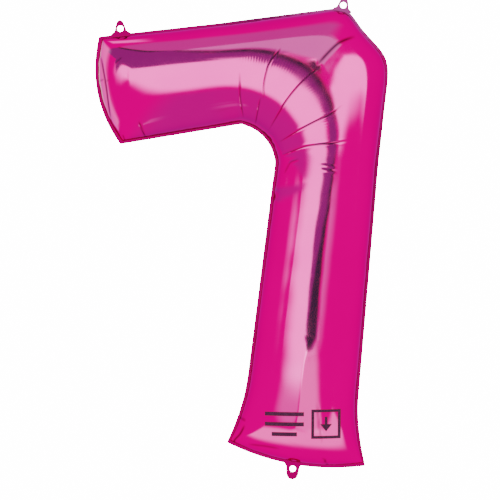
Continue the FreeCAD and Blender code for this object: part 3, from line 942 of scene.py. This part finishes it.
GLOWS = {
    "far_front_glow": (FAR_FRONT, PINK_GLOW, 0.1, (
        (-2.66, 0.9), (-2.66, 2.6), (-0.3, 2.6), (0.3, 0.9), (0.3, 0.1, 0.2), (-0.2, -0.45, 0.5),
        (-0.8, -0.5, 0.7), (-1.4, -0.35, 0.9), (-2.2, 0.05, 1.0), (-2.66, 0.3, 0.6))),
    "far_left_glow": (FAR_LEFT, PINK_GLOW, 0.3, (
        (-2.46, 0.85), (-2.46, 2.3, 0.1), (-0.9, 1.9), (-0.5, 1.1, 0.8), (-0.7, 0.4, 1.4),
        (-1.4, 0.35, 0.9))),
    "lower_stem_glow": (NEAR_FRONT, MAUVE_GLOW, 0.02, (
        (-0.025, 0.2), (-0.02, 0.06), (-0.05, -0.06, 0.06), (-0.16, -0.08, 0.1), (-0.24, 0.06, 0.12),
        (-0.2, 0.22, 0.12), (-0.08, 0.26, 0.1))),
    "front_right_glow": (FRONT, PINK_GLOW, 0.02, (
        (0.11, 0.71), (0.18, 0.79), (0.42, 1.02), (0.75, 1.25, 0.05), (1.4, 1.75, 0.2), (2.6, 2.4, 0.6),
        (2.6, 0.3, 0.6), (1.4, 0.45, 0.4), (0.86, 0.56, 0.26), (0.4, 0.55, 0.17), (0.28, 0.5, 0.08),
        (0.21, 0.5, 0.04), (0.19, 0.58))),
    "low_middle_glow": (FRONT, LOW_GLOW, 0.12, (
        (-0.03, 0.265, 0.02), (0.13, 0.255, 0.04), (0.24, 0.1, 0.08), (0.32, -0.1), (0.3, -0.3),
        (-0.05, -0.3, 0.06), (-0.055, 0.0, 0.03))),
    "strip_glow": (FRONT, MAUVE_GLOW, 0.14, (
        (0.13, 0.5, 0.03), (0.3, 0.54), (0.27, 0.36), (0.2, 0.16, 0.1), (0.09, 0.16, 0.04))),
    "foot_glow": (BELOW, PALE_GLOW, 0.05, (
        (-0.34, -0.06, 0.04), (-0.15, -0.05), (0.05, -0.07), (0.25, -0.06, 0.06), (0.6, -0.12, 0.06),
        (0.62, -0.46, 0.1), (0.28, -0.32, 0.06), (0.0, -0.24), (-0.12, -0.24), (-0.32, -0.24, 0.06))),
    "top_left_glow": (TOP, PALE_GLOW, 0.1, (
        (-0.76, 0.12), (-0.76, 0.42), (-0.38, 0.42, 0.12), (-0.38, 0.1))),
    "bar_end_glow": (BAR_END, LOW_GLOW, 0.02, (
        (-0.05, 0.8), (0.06, 0.8, 0.01), (0.06, 0.55, 0.01), (-0.035, 0.56), (-0.045, 0.64))),
}
FLAGS = {
    "overhead_flag": (TOP, DEEP_MAUVE, 0.02, (
        (-0.62, 0.0, 0.05), (-0.42, 0.12, 0.12), (0.0, 0.14, 0.2), (0.62, 0.2, 0.3), (0.4, -0.6, 0.2),
        (0.6, -1.6, 0.1), (-0.3, -1.6), (-0.33, -0.7), (-0.38, -0.52), (-0.53, -0.37), (-0.72, -0.07))),
    "upper_front_flag": (FRONT, MAUVE, 0.02, (
        (-0.35, 1.62), (-0.35, 1.42), (-0.22, 1.17), (-0.05, 0.95), (0.07, 0.78), (0.13, 0.74),
        (0.3, 0.92, 0.03), (0.46, 1.1, 0.06), (0.62, 1.3, 0.25), (0.6, 1.9, 0.5), (-0.1, 1.9, 0.5))),
    "band_flag": (FRONT, PURPLE, 0.02, (
        (-0.35, 1.39), (-0.24, 1.17, 0.01), (-0.13, 1.02, 0.01), (0.0, 0.85, 0.01),
        (0.065, 0.755, 0.01), (0.11, 0.7, 0.01), (0.145, 0.66), (0.175, 0.6), (0.2, 0.545),
        (0.19, 0.51), (0.15, 0.47), (0.11, 0.42), (0.105, 0.33), (0.118, 0.195, 0.006),
        (-0.02, 0.235, 0.006), (-0.02, 0.36, 0.01), (-0.03, 0.44, 0.01), (0.02, 0.497, 0.01),
        (0.08, 0.525, 0.01), (0.1, 0.56, 0.01), (0.09, 0.61, 0.01), (0.045, 0.68, 0.01), (-0.04, 0.75),
        (-0.12, 0.82), (-0.156, 0.9), (-0.2, 0.937), (-0.285, 0.945), (-0.36, 1.1))),
    "upper_left_flag": (FRONT, PURPLE, 0.02, (
        (-1.3, 0.84, 0.03), (-0.67, 1.07, 0.03), (-0.45, 1.02, 0.03), (-0.28, 0.945), (-0.22, 1.1),
        (-0.34, 1.39), (-0.42, 1.6), (-1.3, 1.62))),
    "overhead_left_flag": (TOP, PURPLE, 0.02, (
        (-0.72, -0.07), (-0.53, -0.37), (-0.38, -0.515), (-0.34, -0.7), (-0.34, -1.6),
        (-1.6, -1.6, 0.1), (-1.6, 0.1, 0.1))),
    "under_bar_flag": (UNDER_BAR, DEEP_MAGENTA, 0.18, (
        (-0.36, -0.48), (-0.32, 0.2, 0.08), (-0.05, 0.2, 0.05), (-0.02, -0.48))),
    "left_corner_flag": (TOP, DARK, 0.1, (
        (-1.75, 0.7), (-1.75, 1.2), (-1.2, 1.1), (-1.1, 0.7))),
}
DARK_LINES = {
    "band_line": (FRONT, DARK, 0.01, (
        (-0.35, 1.4), (-0.24, 1.18), (-0.13, 1.03), (0.0, 0.86), (0.07, 0.76), (0.11, 0.705),
        (0.15, 0.66), (0.185, 0.59), (0.15, 0.6, 0.03), (0.085, 0.66, 0.03), (0.03, 0.73, 0.03),
        (-0.05, 0.83, 0.03), (-0.14, 0.94, 0.03), (-0.22, 1.06, 0.03), (-0.28, 1.15, 0.03),
        (-0.38, 1.37, 0.03))),
    "overhead_line": (TOP, DARK, 0.02, (
        (-0.34, -0.46), (-0.52, -0.33), (-0.72, -0.04), (-0.8, -0.08), (-0.58, -0.4), (-0.38, -0.54))),
    "stem_line": (FRONT, DARK, 0.01, (
        (0.2, 0.54), (0.15, 0.475), (0.108, 0.42), (0.104, 0.35), (0.1, 0.3), (0.095, 0.205, 0.006),
        (-0.005, 0.235, 0.006), (0.0, 0.3, 0.02), (0.02, 0.36, 0.02), (0.04, 0.42, 0.03),
        (0.09, 0.48, 0.03), (0.16, 0.54, 0.03))),
}
SHIFT_TURN = 0.4  # cards placed lower than this are shifted up or back, the others down
FLAG_SHIFT = 0.01  # flags hang this much nearer to the balloon than the glows
LINE_SHIFT = 0.02  # and the dark lines nearer still
OUTLINE_STEP = 0.02  # spacing of the points of a card's rounded outline
OUTLINE_SMOOTHNESS = 0.8  # how many of them its corners are rounded over
FAR, FAR_GRAIN = 2.0, 4  # a card beyond this distance is this much coarser


def rounded_outline(outline, grain):
    """A card's outline as a smooth closed curve of (first axis, second axis, softness)."""
    closed = np.array(outline + outline[:1])
    length = np.linalg.norm(np.diff(closed[:, :2], axis=0), axis=1).sum()
    even = resampled(closed, round(length / (OUTLINE_STEP * grain)) + 1)[:-1]
    reach = math.ceil(BELL_REACH * OUTLINE_SMOOTHNESS)
    weights = bell(reach, OUTLINE_SMOOTHNESS)
    return sum(weight * np.roll(even, k - reach, axis=0) for k, weight in enumerate(weights))


def edge_distance(points, a, b):
    share = np.clip((points - a) @ (b - a) / max((b - a) @ (b - a), TINY), 0, 1)
    return np.linalg.norm(points - (a + share[:, None] * (b - a)), axis=1)


def card_cover(points, outline):
    """How much of a card there is at each point of its plane, 0 outside and 1 inside its soft edges."""
    x, y = points.T
    within = np.zeros(len(points), bool)
    nearness = np.ones(len(points))
    for start, end in zip(outline, np.roll(outline, -1, axis=0)):
        a, b, softness = start[:2], end[:2], start[2]
        crosses = (a[1] > y) != (b[1] > y)
        slope = (b[0] - a[0]) / (b[1] - a[1]) if b[1] != a[1] else 0.0
        within ^= crosses & (x < a[0] + (y - a[1]) * slope)
        nearness = np.minimum(nearness, edge_distance(points, a, b) / softness)
    return np.where(within, nearness * nearness * (3 - 2 * nearness), 0.0)


def card_material(name, light, glows):
    """Even light that fades out at the card's soft edges, added to or hiding what is behind it."""
    material = bpy.data.materials.new(name)
    material.use_nodes = True
    nodes, links = material.node_tree.nodes, material.node_tree.links
    nodes.clear()
    cover = nodes.new("ShaderNodeAttribute")
    cover.attribute_name = "cover"
    shine = nodes.new("ShaderNodeEmission")
    shine.inputs["Color"].default_value = (*light, 1)
    clear = nodes.new("ShaderNodeBsdfTransparent")
    output = nodes.new("ShaderNodeOutputMaterial")
    join = nodes.new("ShaderNodeAddShader" if glows else "ShaderNodeMixShader")
    links.new(cover.outputs["Fac"], shine.inputs["Strength"] if glows else join.inputs["Fac"])
    links.new(clear.outputs["BSDF"], join.inputs[-2])
    links.new(shine.outputs["Emission"], join.inputs[-1])
    links.new(join.outputs["Shader"], output.inputs["Surface"])
    return material


def card(name, plane, light, outline, shift, seen_by):
    """A light card or a flag, hung beside the balloon and seen only in its reflections."""
    axis, place = plane
    axis = "xyz".index(axis)
    place += shift * (1 if place < SHIFT_TURN else -1)
    grain = FAR_GRAIN if abs(place) > FAR else 1
    outline = rounded_outline(outline, grain)
    low, high = outline[:, :2].min(axis=0), outline[:, :2].max(axis=0)
    counts = np.maximum(2, np.ceil((high - low) / (CARD_CELL * grain)).astype(int) + 1)
    first, second = np.meshgrid(np.linspace(low[0], high[0], counts[0]),
                                np.linspace(low[1], high[1], counts[1]), indexing="ij")
    flat = np.column_stack([first.ravel(), second.ravel()])
    cover = card_cover(flat, outline)
    faces = quads(np.arange(len(flat)).reshape(counts))
    faces = faces[cover[faces].max(axis=1) > 0]
    points = np.insert(flat, axis, place, axis=1)
    piece = mesh_object(name, points, faces, card_material(name, light, seen_by is not None))
    point_values(piece, "cover", cover)
    for kind in ("camera", "diffuse", "transmission", "volume_scatter", "shadow"):
        setattr(piece, "visible_" + kind, False)
    if seen_by is not None:
        piece.light_linking.receiver_collection = seen_by


def camera():
    data = bpy.data.cameras.new("camera")
    data.sensor_width = SENSOR
    data.lens = SENSOR * CAMERA_DISTANCE / VIEW_WIDTH
    data.clip_end = FARTHEST_SEEN
    viewer = bpy.data.objects.new("camera", data)
    viewer.location = (CAMERA_X, -CAMERA_DISTANCE, CAMERA_HEIGHT)
    viewer.rotation_euler = (math.pi / 2, 0, 0)
    bpy.context.scene.collection.objects.link(viewer)
    bpy.context.scene.camera = viewer


BACKDROP_LEVEL = 13.0  # white after the view transform
FILL_LEVEL = 1.0  # plain white light on what isn't mirror-like
ROOM_COLOUR = (1.0, 0.20, 0.70, 1)
ROOM_LEVEL = 1.25


def world():
    """The studio room: a white backdrop, plain white fill light, and a rosy room in reflections."""
    surround = bpy.data.worlds.new("studio")
    bpy.context.scene.world = surround
    surround.use_nodes = True
    nodes, links = surround.node_tree.nodes, surround.node_tree.links

    def light(colour, level):
        node = nodes.new("ShaderNodeBackground")
        node.inputs["Color"].default_value = colour
        node.inputs["Strength"].default_value = level
        return node.outputs["Background"]

    def pick(ray, otherwise, chosen):
        node = nodes.new("ShaderNodeMixShader")
        links.new(path.outputs[ray], node.inputs["Fac"])
        links.new(otherwise, node.inputs[1])
        links.new(chosen, node.inputs[2])
        return node.outputs["Shader"]

    path = nodes.new("ShaderNodeLightPath")
    lit = pick("Is Glossy Ray", light((1, 1, 1, 1), FILL_LEVEL), light(ROOM_COLOUR, ROOM_LEVEL))
    seen = pick("Is Camera Ray", lit, light((1, 1, 1, 1), BACKDROP_LEVEL))
    links.new(seen, nodes["World Output"].inputs["Surface"])


# --- the balloon ---------------------------------------------------------------------------------

foil = foil_material("magenta_foil", FOIL_COLOURS, FOIL_ROUGHNESS, FOIL_CRINKLE)
# the margin and tabs: the foil with its colour darkened as painted shade
margin_foil = foil_material("sealed_margin_foil", SHADED_MARGIN_COLOURS, MARGIN_ROUGHNESS, MARGIN_CRINKLE)

skin = foil_skin(foil)
skin_tree = BVHTree.FromObject(skin, bpy.context.evaluated_depsgraph_get())
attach(skin, "envelope")
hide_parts("front_foil_panel", "back_foil_panel")

margin = sealed_margin(margin_foil)
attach(margin, "envelope")
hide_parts("perimeter_heat_seal")

LEFT_HOLE, RIGHT_HOLE, FILL_HOLE = TAB_CENTRES
LEFT_LEAN, RIGHT_LEAN, FILL_LEAN = -5, 12, 185  # degrees from straight up, towards +x
FILM_LEVEL = 0.45 * MM  # middle of each film of the filling tab, from the mid-plane
FILL_FILM = 0.35 * MM
FILL_FLARE = 0.9 * MM
for side, hole, lean in (("left", LEFT_HOLE, LEFT_LEAN), ("right", RIGHT_HOLE, RIGHT_LEAN)):
    hinged_tab(side + "_tab_sheet", "upper_" + side + "_hanging_tab", hole, lean,
               HANGING_TAB, 0, TAB_THICKNESS, 0, margin_foil)
for side, sign in (("front", -1), ("back", 1)):
    hinged_tab("fill_tab_" + side + "_sheet", "fill_tab_" + side + "_film", FILL_HOLE,
               FILL_LEAN, FILLING_TAB, sign * FILM_LEVEL, FILL_FILM, sign * FILL_FLARE, margin_foil)

ink = ink_material()
frame_outer = rectangle(ARROW_X, PRINT_LEVEL, ARROW_SIDE, ARROW_SIDE)
frame_inner = rectangle(ARROW_X, PRINT_LEVEL, ARROW_SIDE - 2 * ARROW_LINE,
                        ARROW_SIDE - 2 * ARROW_LINE)
inked("fill_arrow_ink", [[frame_outer, frame_inner], [arrow_outline()]], skin_tree,
      "fill_arrow_print", ink)
inked("caption_bars_ink",
      [[rectangle(BARS_X, PRINT_LEVEL + BAR_PITCH * (1 - i), width, BAR_HEIGHT)]
       for i, width in enumerate(BAR_WIDTHS)],
      skin_tree, "caption_bars_print", ink)

valve_film = film_material("valve_film", VALVE_COLOURS, VALVE_ROUGHNESS)
release_coat = film_material("release_coat", COAT_COLOURS, COAT_ROUGHNESS)
for name in ("valve_front_film", "valve_back_film", "valve_left_side_weld", "valve_right_side_weld"):
    finish_node(name, valve_film)
finish_node("valve_release_coat", release_coat)

floor()
world()
camera()
view = bpy.context.scene.view_settings
view.view_transform = "Filmic"
view.look = "Medium High Contrast"
skin_alone = bpy.data.collections.new("skin_alone")
skin_alone.objects.link(skin)
for cards, shift, seen_by in ((GLOWS, 0, skin_alone), (FLAGS, FLAG_SHIFT, None),
                              (DARK_LINES, LINE_SHIFT, None)):
    for name, (plane, light, softness, points) in cards.items():
        outline = [(*point, softness)[:3] for point in points]
        card(name, plane, light, outline, shift, seen_by)
